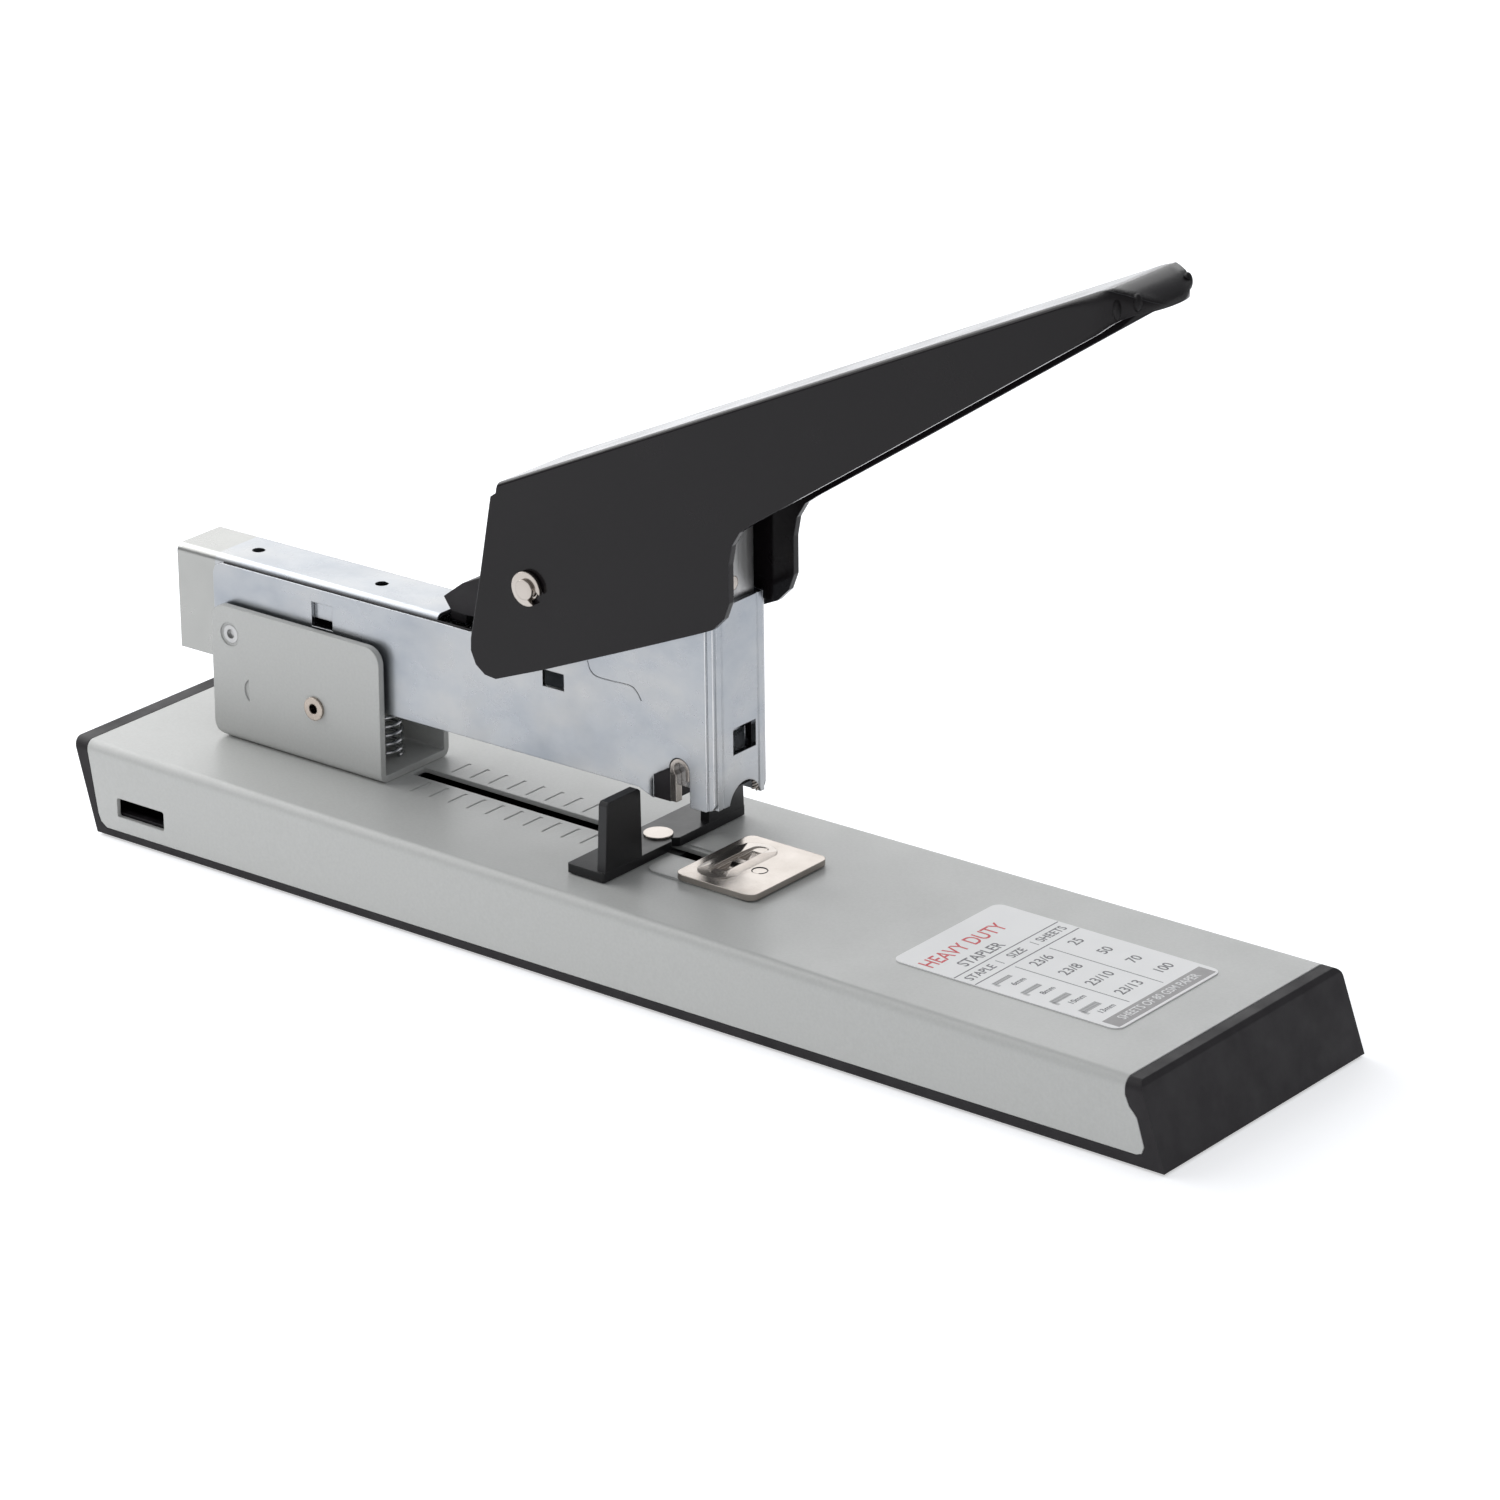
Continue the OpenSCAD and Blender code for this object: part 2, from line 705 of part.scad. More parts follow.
module e_clips() {
    color([0.85, 0.82, 0.78])
    for (s = [-1, 1]) translate([pivot_x, s * (handle_w / 2 + 0.75), pivot_z])
        difference() {
            cross_bar(7.2, 0.8);
            cross_bar(3.4, 2);
            rotate([0, 35, 0]) translate([3, 0, 0]) cube([6, 2, 3], center = true);
        }
}

// ---------- handle ----------

back_x = -37.7;                          // rear end of the handle's back
back_z = 92.6;
bend = 1.0;                              // outside radius of the long bends
tip_x = 117.4;                           // foremost point of the grip
grip_r = 10.5;                              // radius of the grip's end in plan

function back_line(x) = back_z + (x - back_x) * tan(handle_angle);

// Side of the handle: broad cheek round the pivot, lobe over the nose, slim arm to the grip
module handle_outline() {
    polygon([
        [back_x, back_z], [back_x - 0.4, back_z - 2.2], [back_x - 1.8, back_z - 3.2],
        [-43, 70.9], [-45.7, 58], [-45.8, 55.4], [-44.6, 52.6], [-42.3, 50.9], [-39.4, 50.6],
        [-26.9, 55.4], [-1.7, 65.8], [12.6, 71.8], [16.6, 73.6], [19.4, 76.4], [20.8, 80],
        [20.8, 87.9], [21.6, 92], [23.6, 95.2], [26.6, 97.4],
        [52.9, 114.8], [106.8, 150.9], [109.7, 153.2], [111.4, 154.3], [113.5, 155.3],
        [tip_x, 156.2], [tip_x - 0.9, 157.2], [tip_x - 2.6, 158.3], [tip_x - 5, 159.3],
        [tip_x - 8, 159.9], [tip_x - 11, back_line(tip_x - 11)]
    ]);
}

// What the bent channel leaves open: everything under its back
module handle_hollow() {
    k = handle_t / cos(handle_angle);
    polygon([
        [back_x - 12, back_line(back_x - 12) - k], [tip_x - 11, back_line(tip_x - 11) - k],
        [tip_x - 8, 158.3], [tip_x - 5, 157.6], [tip_x - 2.6, 156.4], [140, 150], [60, 40],
        [back_x - 30, 40]
    ]);
}

// A long bar whose top runs along the handle's back, with rounded upper corners
module channel_form(length) {
    h = handle_w / 2;
    translate([back_x, 0, back_z]) rotate([0, -handle_angle, 0]) rotate([90, 0, 90])
        translate([0, 0, -60]) linear_extrude(length + 60) {
            translate([-h, -120]) square([2 * h, 120 - bend]);
            translate([-h + bend, -120]) square([2 * (h - bend), 120]);
            for (s = [-1, 1]) translate([s * (h - bend), -bend]) circle(bend);
        }
}

// Upright bar with the grip's rounded end, d inside the outer one
module grip_plan(d) {
    translate([tip_x - 100, 0, 20]) linear_extrude(200)
        rounded_rect(200 - 2 * d, handle_w - 2 * d, grip_r - d);
}

module handle() {
    color([0.1, 0.1, 0.11])
    difference() {
        intersection() {
            across(handle_w) handle_outline();
            channel_form((tip_x + 6 - back_x) / cos(handle_angle));
            grip_plan(0);
        }
        intersection() {
            across(handle_w - 2 * handle_t) handle_hollow();
            grip_plan(handle_t);
        }
        translate([pivot_x, 0, pivot_z]) cross_bar(pivot_d + 2 * running, 40);
    }
}

// Two lugs under the handle's back; their slots carry the drive pin
module push_lugs() {
    reach = (back_z - pivot_z) * cos(handle_angle) - (back_x - pivot_x) * sin(handle_angle)
        - handle_t - (drive_z - pivot_z) * cos(handle_angle) + arm * sin(handle_angle) - 0.05;
    give = arm / cos(press_angle / 2) - arm;
    color("silver")
    translate([drive_x, 0, drive_z]) rotate([0, -handle_angle, 0]) {
        pair_of_plates(9.4, 1.5) difference() {
            union() {
                translate([-4.2, 0]) square([8.4, reach - 0.2]);
                circle(4.2);
            }
            rotate(press_angle / 2 - handle_angle) {
                translate([-give / 2, 0]) square([give, drive_d + 0.4], center = true);
                for (x = [-give, 0]) translate([x, 0]) circle(d = drive_d + 0.4);
            }
        }
        translate([0, 0, reach - 0.7]) cube([16, 15, 1.4], center = true);
    }
}

// Torsion spring on the pivot pin that lifts the handle
module return_spring() {
    color("silver")
    translate([pivot_x, -4.5, pivot_z]) rotate([-90, 0, 0])
        coil(9.6, 1.3, 9, 6.5, 16, 6);
}

// ---------- driver ----------

module driver_carrier() {
    color([0.62, 0.62, 0.62])
    difference() {
        union() {
            translate([blade_x0 - carrier_t, -carrier_w / 2, carrier_z0])
                cube([carrier_t, carrier_w, carrier_z1 - carrier_z0]);
            pair_of_plates(carrier_w, carrier_t) polygon([
                [drive_x - 3.6, carrier_z0], [blade_x0, carrier_z0], [blade_x0, carrier_z1],
                [blade_x0 - 3, carrier_z1], [drive_x - 2, drive_z + 4], [drive_x - 3.6, drive_z + 2]
            ]);
        }
        translate([drive_x, 0, drive_z]) cross_bar(drive_d, 40);
        translate([blade_x0, 0, driver_rivet_z]) rotate([0, 90, 0]) cylinder(d = 3, h = 8, center = true);
    }
}

module driver_blade() {
    color([0.7, 0.7, 0.7])
    translate([(blade_x0 + blade_x1) / 2, 0, 0]) rotate([90, 0, 90])
        linear_extrude(blade_t, center = true) difference() {
            translate([-6.4, blade_z0]) square([12.8, 96 - blade_z0]);
            translate([0, driver_rivet_z]) circle(d = 3);
        }
}

module driver_rivet() {
    color([0.85, 0.8, 0.72])
    translate([blade_x1, 0, driver_rivet_z]) rotate([0, -90, 0]) {
        cylinder(d = 3, h = blade_t + carrier_t + 0.4);
        translate([0, 0, blade_t + carrier_t]) cylinder(d = 4.8, h = 0.8);
    }
}

module drive_pin() {
    color("silver")
    translate([drive_x, 0, drive_z]) cross_bar(drive_d, carrier_w);
}

// ---------- magazine ----------

module channel_section() {
    r = 1.6;
    difference() {
        union() {
            translate([-mag_w / 2, mag_z0]) square([mag_w, mag_top - mag_z0 - r]);
            translate([-mag_w / 2 + r, mag_z0]) square([mag_w - 2 * r, mag_top - mag_z0]);
            for (s = [-1, 1]) translate([s * (mag_w / 2 - r), mag_top - r]) circle(r);
        }
        translate([-mag_w / 2 + mag_t, 0])
            square([mag_w - 2 * mag_t, mag_top - r]);
        translate([-mag_w / 2 + r, 0]) square([mag_w - 2 * r, mag_top - mag_t]);
        for (s = [-1, 1]) translate([s * (mag_w / 2 - r), mag_top - r]) circle(r - mag_t);
    }
}

// Inverted channel that slides out of the rear of the head
module magazine_channel() {
    color([0.75, 0.76, 0.77])
    difference() {
        union() {
            translate([mag_x0, 0, 0]) rotate([90, 0, 90])
                linear_extrude(mag_roof_x1 - mag_x0) channel_section();
            // folded rear end
            translate([mag_x0, -mag_w / 2 + 0.3, mag_z0 + 3])
                cube([1, mag_w - 0.6, mag_top - mag_z0 - 3.6]);
        }
        for (x = [-113, -79]) translate([x, 0, 50]) cylinder(d = 2.8, h = 20);
        translate([-88.5, 0, 48.2]) cube([8, 40, 6], center = true);
        translate([mag_x0, 0, rod_z]) rotate([0, 90, 0]) cylinder(d = rod_d, h = 4, center = true);
    }
}

// Rail that the strip of staples straddles
module staple_rail() {
    color("silver")
    rotate([90, 0, 90]) translate([0, 0, -128.4]) linear_extrude(rail_x1 + 128.4) difference() {
        translate([-rail_w / 2, 36.6]) square([rail_w, rail_top - 36.6]);
        translate([-rail_w / 2 + 1, 35]) square([rail_w - 2, rail_top - 36]);
    }
}

module pusher_rod() {
    color("silver")
    translate([mag_x0 - 0.6, 0, rod_z]) rotate([0, 90, 0]) {
        cylinder(d = rod_d, h = 136);
        cylinder(d = 4.6, h = 0.6);
    }
}

// Black block that follows the staples along the rail
module pusher() {
    color([0.1, 0.1, 0.1])
    difference() {
        translate([pusher_x0, -6.35, 36.6]) cube([pusher_x1 - pusher_x0, 12.7, 20]);
        translate([pusher_x0 - 1, -rail_w / 2 - 0.1, 30]) cube([30, rail_w + 0.2, rail_top - 29.9]);
        translate([0, 0, rod_z]) rotate([0, 90, 0])
            cylinder(d = rod_d + 2 * running, h = 60, center = true);
    }
}

// Sheet saddle on the pusher's front that meets the staples
module pusher_saddle() {
    color("silver")
    translate([pusher_x1, 0, 0]) difference() {
        union() {
            translate([0, -6.35, 36.6]) cube([0.8, 12.7, 19]);
            for (s = [-1, 1]) translate([0, s * 6.05 - 0.3, 36.6]) cube([8.6, 0.6, 13]);
        }
        translate([-1, -rail_w / 2 - 0.05, 30]) cube([30, rail_w + 0.1, rail_top - 29.9]);
        translate([0, 0, rod_z]) rotate([0, 90, 0]) cylinder(d = rod_d + 0.2, h = 9, center = true);
    }
}

module pusher_spring() {
    color("silver")
    translate([mag_x0 + 1.2, 0, rod_z]) rotate([0, 90, 0])
        coil(5.4, 0.6, pusher_x0 - mag_x0 - 1.4, 20, 10, 5);
}

// ---------- latch ----------

// Faceted thumb lever behind the handle
module latch_lever() {
    color([0.09, 0.09, 0.1])
    difference() {
        union() {
            across(latch_w) polygon([
                [-57.4, 62.8], [-52.4, 66.6], [-47.2, 69], [-44.8, 67.4], [-44.8, 60.4],
                [-52, 59.9], [-55.6, 60.2]
            ]);
            across(6) polygon([
                [-46, 60.4], [-36, 61.2], [-34.6, 64], [-36, 66.6], [-46, 67.2]
            ]);
            across(8) polygon([[-57.2, 57.6], [-53, 57.4], [-52.6, 60.4], [-56.4, 60.4]]);
        }
        translate([latch_x, 0, latch_z]) cross_bar(latch_d + 2 * running, 20);
    }
}

module latch_pin() {
    color("silver")
    translate([latch_x, 0, latch_z]) cross_bar(latch_d, head_w);
}

module latch_spring() {
    color("silver")
    translate([latch_x, 3.3, latch_z]) rotate([-90, 0, 0]) coil(4.6, 0.6, 3.2, 4.5, 12, 6);
}

// ---------- selection ----------

base_tray();
rubber_feet();
base_screws();
base_cover();
cross_straps();
size_label();
hinge_bracket();
bracket_rivets();
hinge_pins();
stop_rivet();
lift_spring();
anvil_plate();
anvil_rivet();
anvil_support();
paper_guide();
guide_rivet();
guide_clamp();
head_casing();
nose_plate();
nose_insert();
nose_clips();
spring_seat();
pivot_pin();
pivot_spacers();
e_clips();
handle();
push_lugs();
return_spring();
driver_carrier();
driver_blade();
driver_rivet();
drive_pin();
magazine_channel();
staple_rail();
pusher_rod();
pusher();
pusher_saddle();
pusher_spring();
latch_lever();
latch_pin();
latch_spring();
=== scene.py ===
"""Heavy duty stapler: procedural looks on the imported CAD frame, in metres."""

import json
import math

import bmesh
import bpy
from mathutils import Matrix, Vector


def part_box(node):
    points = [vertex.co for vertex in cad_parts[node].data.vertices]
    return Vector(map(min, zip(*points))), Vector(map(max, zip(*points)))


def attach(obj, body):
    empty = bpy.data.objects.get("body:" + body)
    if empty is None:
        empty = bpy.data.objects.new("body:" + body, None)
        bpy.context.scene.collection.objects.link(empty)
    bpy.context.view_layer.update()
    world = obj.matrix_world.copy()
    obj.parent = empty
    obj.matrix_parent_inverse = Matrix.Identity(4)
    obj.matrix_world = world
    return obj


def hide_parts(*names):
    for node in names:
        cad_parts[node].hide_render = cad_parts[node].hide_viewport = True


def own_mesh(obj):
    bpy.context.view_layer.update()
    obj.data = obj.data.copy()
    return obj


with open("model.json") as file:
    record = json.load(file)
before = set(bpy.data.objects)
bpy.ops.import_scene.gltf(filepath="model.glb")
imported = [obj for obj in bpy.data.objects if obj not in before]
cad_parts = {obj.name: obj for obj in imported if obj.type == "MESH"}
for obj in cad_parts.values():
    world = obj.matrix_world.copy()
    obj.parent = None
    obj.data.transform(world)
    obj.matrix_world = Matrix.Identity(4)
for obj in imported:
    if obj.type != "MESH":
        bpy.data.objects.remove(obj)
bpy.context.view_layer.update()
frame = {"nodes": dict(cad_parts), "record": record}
NODES = frame["nodes"]
MM = 0.001


# ---------- camera ----------

AZIMUTH = math.radians(38.44)
ELEVATION = math.radians(21.70)
ROLL = math.radians(-0.71)
DISTANCE = 1.3652
AIM = Vector((-0.1348, 0.00045, 0.0))
SIDEWAYS = 0.11834
UPWARD = 0.00838
LENS = 153.5
SENSOR = 36.0


def make_camera():
    """The camera fitted to the photograph: it looks at AIM, then moves in its own plane."""
    back = Vector((
        math.sin(AZIMUTH) * math.cos(ELEVATION),
        -math.cos(AZIMUTH) * math.cos(ELEVATION),
        math.sin(ELEVATION),
    ))
    right = Vector((math.cos(AZIMUTH), math.sin(AZIMUTH), 0.0))
    up = back.cross(right)
    right_rolled = math.cos(ROLL) * right + math.sin(ROLL) * up
    up_rolled = -math.sin(ROLL) * right + math.cos(ROLL) * up
    place = AIM + SIDEWAYS * right_rolled + UPWARD * up_rolled + DISTANCE * back
    data = bpy.data.cameras.new("camera")
    data.lens = LENS
    data.sensor_width = SENSOR
    data.sensor_fit = "HORIZONTAL"
    data.clip_start = 0.05
    data.clip_end = 20.0
    obj = bpy.data.objects.new("camera", data)
    bpy.context.scene.collection.objects.link(obj)
    turn = Matrix((right_rolled, up_rolled, back)).transposed().to_4x4()
    obj.matrix_world = Matrix.Translation(place) @ turn
    bpy.context.scene.camera = obj


# ---------- node helpers ----------

# sockets of Blender's colour mix node, which has several with the same name
MIX_FACTOR = 0
MIX_FIRST = 6
MIX_SECOND = 7
MIX_RESULT = 2
BEVEL_SAMPLES = 4


class Mat:
    """A small builder for one node material."""

    def __init__(self, name, color, metallic=0.0, roughness=0.5, specular=0.5):
        self.mat = bpy.data.materials.new(name)
        self.mat.use_nodes = True
        self.tree = self.mat.node_tree
        self.bsdf = self.tree.nodes["Principled BSDF"]
        self.bsdf.inputs["Base Color"].default_value = (*color, 1.0)
        self.bsdf.inputs["Metallic"].default_value = metallic
        self.bsdf.inputs["Roughness"].default_value = roughness
        self.bsdf.inputs["Specular IOR Level"].default_value = specular
        self.mat.diffuse_color = (*color, 1.0)
        self.coord = self.tree.nodes.new("ShaderNodeTexCoord").outputs["Object"]
        self.normal = None

    def node(self, kind, **values):
        made = self.tree.nodes.new(kind)
        for key, value in values.items():
            if hasattr(made, key):
                setattr(made, key, value)
            else:
                made.inputs[key.replace("_", " ")].default_value = value
        return made

    def link(self, a, b):
        self.tree.links.new(a, b)

    def noise(self, scale, detail=3.0, roughness=0.55, stretch=(1, 1, 1)):
        mapping = self.node("ShaderNodeMapping")
        mapping.inputs["Scale"].default_value = stretch
        self.link(self.coord, mapping.inputs["Vector"])
        made = self.node("ShaderNodeTexNoise", Scale=scale, Detail=detail, Roughness=roughness)
        self.link(mapping.outputs["Vector"], made.inputs["Vector"])
        return made.outputs["Fac"]

    def ramp(self, source, stops):
        made = self.node("ShaderNodeValToRGB")
        band = made.color_ramp
        while len(band.elements) < len(stops):
            band.elements.new(0.5)
        for element, (place, color) in zip(band.elements, stops):
            element.position = place
            element.color = (*color, 1.0)
        self.link(source, made.inputs["Fac"])
        return made.outputs["Color"]

    def span(self, source, low, high, at_low=0.0, at_high=1.0):
        made = self.node("ShaderNodeMapRange")
        made.inputs["From Min"].default_value = at_low
        made.inputs["From Max"].default_value = at_high
        made.inputs["To Min"].default_value = low
        made.inputs["To Max"].default_value = high
        self.link(source, made.inputs["Value"])
        return made.outputs["Result"]

    def color_by(self, source, stops):
        self.link(self.ramp(source, stops), self.bsdf.inputs["Base Color"])
        return self

    def rough_by(self, source, low, high, at_low=0.3, at_high=0.7):
        self.link(self.span(source, low, high, at_low, at_high), self.bsdf.inputs["Roughness"])
        return self

    def bump(self, source, strength, distance):
        made = self.node("ShaderNodeBump")
        made.inputs["Strength"].default_value = strength
        made.inputs["Distance"].default_value = distance
        self.link(source, made.inputs["Height"])
        if self.normal is not None:
            self.link(self.normal, made.inputs["Normal"])
        self.normal = made.outputs["Normal"]
        self.link(self.normal, self.bsdf.inputs["Normal"])
        return self

    def soft_edges(self, radius):
        made = self.node("ShaderNodeBevel")
        made.samples = BEVEL_SAMPLES
        made.inputs["Radius"].default_value = radius
        self.normal = made.outputs["Normal"]
        self.link(self.normal, self.bsdf.inputs["Normal"])
        return self

    def painted_edge_highlight(self, radius, color, start=0.97):
        """Painted highlight: a lighter colour where the rounded normal leaves the surface's own,
        along edges and bends.
        """
        bevel = self.node("ShaderNodeBevel")
        bevel.samples = BEVEL_SAMPLES
        bevel.inputs["Radius"].default_value = radius
        own = self.node("ShaderNodeNewGeometry")
        dot = self.node("ShaderNodeVectorMath", operation="DOT_PRODUCT")
        self.link(bevel.outputs["Normal"], dot.inputs[0])
        self.link(own.outputs["Normal"], dot.inputs[1])
        mask = self.span(dot.outputs["Value"], 1.0, 0.0, 0.80, start)
        mix = self.node("ShaderNodeMix", data_type="RGBA")
        self.link(mask, mix.inputs[MIX_FACTOR])
        base = self.bsdf.inputs["Base Color"]
        if base.is_linked:
            self.link(base.links[0].from_socket, mix.inputs[MIX_FIRST])
        else:
            mix.inputs[MIX_FIRST].default_value = tuple(base.default_value)
        mix.inputs[MIX_SECOND].default_value = (*color, 1.0)
        self.link(mix.outputs[MIX_RESULT], base)
        return self

    def beyond(self, axis, start, end):
        """0 to 1 along one object axis between two places."""
        split = self.node("ShaderNodeSeparateXYZ")
        self.link(self.coord, split.inputs["Vector"])
        return self.span(split.outputs[axis], 0.0, 1.0, start, end)


# ---------- materials ----------

# behind this place the zinc plate is the magazine's end, which has one even grey
TAIL_X = -0.1188
TAIL_BLEND = 0.0001
# between these places the handle's rounding grows from a hairline to the grip's soft rim
GRIP_START_X = 0.098
GRIP_FULL_X = 0.106
HAIRLINE = 0.0003
GRIP_RIM = 0.0034
RIM_SAMPLES = 8


def grey_paint():
    m = Mat("grey_paint", (0.50, 0.505, 0.49), 0.0, 0.42, 0.45)
    m.soft_edges(0.0004)
    m.color_by(m.noise(1600, 2), [(0.3, (0.485, 0.49, 0.475)), (0.7, (0.515, 0.52, 0.505))])
    # painted highlight along the paint's edges and bends
    m.painted_edge_highlight(0.0003, (0.60, 0.60, 0.59), 0.95)
    m.rough_by(m.noise(90, 3), 0.30, 0.40)
    m.bump(m.noise(2400, 2), 0.12, 0.0001)
    m.bump(m.noise(55, 2), 0.10, 0.0004)
    return m.mat


def black_plastic():
    m = Mat("black_plastic", (0.014, 0.012, 0.014), 0.0, 0.5, 0.28)
    m.soft_edges(0.0003)
    m.color_by(m.noise(300, 3), [(0.3, (0.012, 0.010, 0.012)), (0.7, (0.017, 0.015, 0.017))])
    # painted highlight along the plastic's edges
    m.painted_edge_highlight(0.00025, (0.05, 0.05, 0.052))
    m.rough_by(m.noise(120, 4), 0.46, 0.62)
    m.bump(m.noise(5200, 2), 0.25, 0.00006)
    return m.mat


def foot_rubber():
    m = Mat("foot_rubber", (0.012, 0.012, 0.012), 0.0, 0.8, 0.3)
    m.rough_by(m.noise(600, 3), 0.7, 0.9)
    m.bump(m.noise(2600, 2), 0.3, 0.0001)
    return m.mat


def zinc_steel():
    m = Mat("zinc_steel", (0.38, 0.40, 0.42), 1.0, 0.24)
    m.soft_edges(0.00022)
    clouds = m.ramp(m.noise(38, 5, 0.6, (1, 1, 1.6)), [
        (0.28, (0.30, 0.325, 0.36)), (0.5, (0.375, 0.39, 0.41)), (0.72, (0.44, 0.44, 0.435))])
    tail = m.node("ShaderNodeMix", data_type="RGBA")
    tail.inputs[MIX_SECOND].default_value = (0.36, 0.362, 0.35, 1.0)
    m.link(m.beyond("X", TAIL_X + TAIL_BLEND, TAIL_X - TAIL_BLEND), tail.inputs[MIX_FACTOR])
    m.link(clouds, tail.inputs[MIX_FIRST])
    m.link(tail.outputs[MIX_RESULT], m.bsdf.inputs["Base Color"])
    # painted highlight along the zinc's edges and folds
    m.painted_edge_highlight(0.00018, (0.62, 0.63, 0.65), 0.96)
    m.rough_by(m.noise(70, 5, 0.6), 0.18, 0.36)
    m.bump(m.noise(900, 3), 0.05, 0.0001)
    m.bump(m.noise(26, 2), 0.14, 0.0006)
    return m.mat


def plain_steel():
    m = Mat("plain_steel", (0.47, 0.47, 0.46), 1.0, 0.34)
    m.soft_edges(0.0002)
    m.color_by(m.noise(60, 4), [(0.3, (0.42, 0.42, 0.42)), (0.7, (0.52, 0.52, 0.51))])
    m.rough_by(m.noise(900, 2, 0.5, (1, 1, 0.05)), 0.28, 0.42)
    m.bump(m.noise(1600, 2, 0.5, (1, 1, 0.04)), 0.12, 0.0001)
    return m.mat


def spring_steel():
    m = Mat("spring_steel", (0.62, 0.63, 0.64), 1.0, 0.2)
    m.color_by(m.noise(120, 3), [(0.3, (0.52, 0.53, 0.55)), (0.7, (0.70, 0.70, 0.70))])
    m.rough_by(m.noise(400, 3), 0.14, 0.28)
    m.bump(m.noise(2000, 2), 0.08, 0.0001)
    return m.mat


def nickel():
    m = Mat("nickel", (0.46, 0.42, 0.38), 1.0, 0.2)
    m.soft_edges(0.0003)
    m.color_by(m.noise(90, 4), [(0.3, (0.40, 0.36, 0.325)), (0.7, (0.50, 0.46, 0.425))])
    m.rough_by(m.noise(160, 4), 0.15, 0.24)
    m.bump(m.noise(1200, 3), 0.06, 0.0001)
    return m.mat


def copper_nickel():
    m = Mat("copper_nickel", (0.46, 0.40, 0.35), 1.0, 0.28)
    m.soft_edges(0.0003)
    m.color_by(m.noise(300, 4), [(0.3, (0.36, 0.31, 0.27)), (0.7, (0.52, 0.46, 0.40))])
    m.rough_by(m.noise(300, 4), 0.2, 0.36)
    return m.mat


def black_steel():
    m = Mat("black_steel", (0.008, 0.008, 0.009), 0.0, 0.34, 0.4)
    m.soft_edges(0.0003)
    m.rough_by(m.noise(140, 4), 0.28, 0.4)
    m.bump(m.noise(1800, 2), 0.12, 0.0001)
    return m.mat


def black_lacquer():
    m = Mat("black_lacquer", (0.0075, 0.006, 0.007), 0.0, 0.2, 0.20)
    m.color_by(m.noise(30, 4), [(0.3, (0.0060, 0.0048, 0.0056)), (0.7, (0.0085, 0.0070, 0.0080))])
    # painted highlight along the handle's edges and bends
    m.painted_edge_highlight(0.0003, (0.055, 0.055, 0.06), 0.95)
    bevel = m.node("ShaderNodeBevel")
    bevel.samples = RIM_SAMPLES
    along = m.beyond("X", GRIP_START_X, GRIP_FULL_X)
    m.link(m.span(along, HAIRLINE, GRIP_RIM), bevel.inputs["Radius"])
    m.normal = bevel.outputs["Normal"]
    m.link(m.normal, m.bsdf.inputs["Normal"])
    m.rough_by(m.noise(70, 4), 0.13, 0.20)
    m.bump(m.noise(1500, 3), 0.04, 0.0001)
    return m.mat


def label_film():
    m = Mat("label_film", (0.86, 0.86, 0.855), 0.0, 0.45, 0.3)
    m.rough_by(m.noise(200, 3), 0.42, 0.52)
    m.bump(m.noise(700, 2), 0.04, 0.0001)
    return m.mat


def ink(name, color):
    m = Mat(name, color, 0.0, 0.5, 0.4)
    m.rough_by(m.noise(900, 2), 0.42, 0.58)
    return m.mat


MATERIALS = {
    "grey_paint": grey_paint(),
    "black_plastic": black_plastic(),
    "foot_rubber": foot_rubber(),
    "zinc_steel": zinc_steel(),
    "plain_steel": plain_steel(),
    "spring_steel": spring_steel(),
    "nickel": nickel(),
    "copper_nickel": copper_nickel(),
    "black_steel": black_steel(),
    "black_lacquer": black_lacquer(),
    "label_film": label_film(),
}
SLOTS = {row["node"]: row["material_slot"] for row in frame["record"]["subparts"]}


for node_name, node_obj in NODES.items():
    node_obj.data.materials.clear()
    node_obj.data.materials.append(MATERIALS[SLOTS[node_name]])


# ---------- light and floor ----------

FLOOR_HALF = 6.0


def area(name, spot, aim, size, power):
    """A rectangular light at spot, pointing to aim."""
    data = bpy.data.lights.new(name, "AREA")
    data.shape = "RECTANGLE"
    data.size, data.size_y = size
    data.energy = power
    obj = bpy.data.objects.new(name, data)
    bpy.context.scene.collection.objects.link(obj)
    obj.location = spot
    obj.rotation_euler = (Vector(aim) - Vector(spot)).to_track_quat("-Z", "Y").to_euler()


def make_sky():
    """A plain light-grey room, brighter overhead."""
    world = bpy.data.worlds.new("studio")
    bpy.context.scene.world = world
    world.use_nodes = True
    tree = world.node_tree
    sky = tree.nodes["Background"]
    sky.inputs["Strength"].default_value = 1.0
    where = tree.nodes.new("ShaderNodeTexCoord")
    split = tree.nodes.new("ShaderNodeSeparateXYZ")
    shade = tree.nodes.new("ShaderNodeValToRGB")
    shade.color_ramp.elements[0].position = 0.0
    shade.color_ramp.elements[0].color = (0.375, 0.378, 0.385, 1.0)
    shade.color_ramp.elements[1].position = 0.7
    shade.color_ramp.elements[1].color = (0.54, 0.55, 0.57, 1.0)
    tree.links.new(where.outputs["Generated"], split.inputs["Vector"])
    tree.links.new(split.outputs["Z"], shade.inputs["Fac"])
    tree.links.new(shade.outputs["Color"], sky.inputs["Color"])


def make_floor():
    mesh = bpy.data.meshes.new("floor")
    low = -FLOOR_HALF
    high = FLOOR_HALF
    corners = [(low, low, 0), (high, low, 0), (high, high, 0), (low, high, 0)]
    mesh.from_pydata(corners, [], [(0, 1, 2, 3)])
    floor = bpy.data.objects.new("floor", mesh)
    bpy.context.scene.collection.objects.link(floor)
    m = Mat("floor_white", (0.80, 0.81, 0.83), 0.0, 0.9, 0.1)
    m.bsdf.inputs["Emission Color"].default_value = (1.0, 1.0, 1.0, 1.0)
    m.bsdf.inputs["Emission Strength"].default_value = 0.5
    mesh.materials.append(m.mat)


